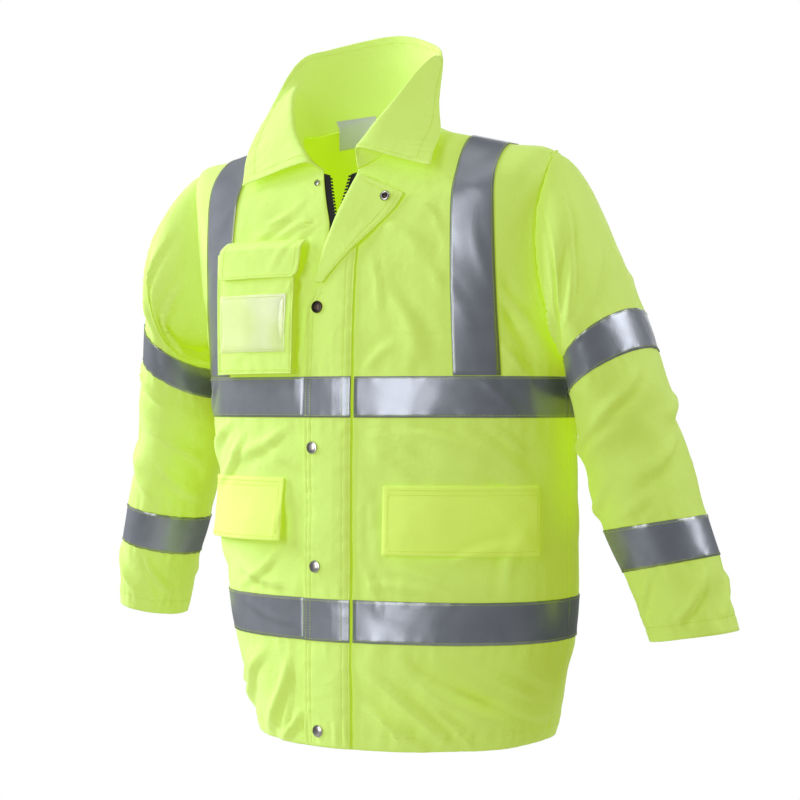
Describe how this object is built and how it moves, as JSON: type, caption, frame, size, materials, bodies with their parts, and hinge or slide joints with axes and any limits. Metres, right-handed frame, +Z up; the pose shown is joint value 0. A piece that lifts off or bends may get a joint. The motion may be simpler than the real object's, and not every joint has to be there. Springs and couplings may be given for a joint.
{
  "type": "high-visibility work jacket",
  "caption": "Hip-length high-visibility work jacket in lime cloth, filled out as worn, with reflective tape bands, storm flap over a zip, turned collar and flap pockets.",
  "frame": {"origin": "middle of the neck opening, level with the neck ends of the shoulder seams, where the wearer's shoulders hold the jacket", "axes": "+Z up, -Y out of the front, +X towards the wearer's left"},
  "size_m": [0.872, 0.3201, 0.8797],
  "materials": {
    "shell_cloth": "matte",
    "flap_cloth": "matte",
    "reflective_tape": "satin",
    "zip_cloth": "matte",
    "black_plastic": "matte",
    "snap_metal": "satin",
    "dark_metal": "satin",
    "clear_film": "gloss",
    "label_cloth": "satin"
  },
  "bodies": {
    "root": {"front_left": "shell_cloth", "front_right": "shell_cloth", "back": "shell_cloth", "sleeve_left": "shell_cloth", "sleeve_right": "shell_cloth", "collar": "shell_cloth", "storm_flap": "shell_cloth", "chest_pocket": "shell_cloth", "chest_pocket_flap": "shell_cloth", "lower_flap_left": "flap_cloth", "lower_flap_right": "flap_cloth", "chest_tape_left": "reflective_tape", "chest_tape_right": "reflective_tape", "chest_tape_back": "reflective_tape", "chest_tape_flap": "reflective_tape", "lower_tape_left": "reflective_tape", "lower_tape_right": "reflective_tape", "lower_tape_back": "reflective_tape", "lower_tape_flap": "reflective_tape", "shoulder_band_front_left": "reflective_tape", "shoulder_band_back_left": "reflective_tape", "shoulder_band_front_right": "reflective_tape", "shoulder_band_back_right": "reflective_tape", "sleeve_left_band_upper": "reflective_tape", "sleeve_left_band_lower": "reflective_tape", "sleeve_right_band_upper": "reflective_tape", "sleeve_right_band_lower": "reflective_tape", "zip_tape_left": "zip_cloth", "zip_tape_right": "zip_cloth", "zip_slider": "black_plastic", "cord_end": "black_plastic", "snap_top": "dark_metal", "snap_upper": "snap_metal", "snap_lower": "snap_metal", "snap_hem": "snap_metal", "snap_socket": "snap_metal", "neck_stud": "snap_metal", "card_window": "clear_film", "neck_label": "label_cloth"}
  },
  "joints": []
}
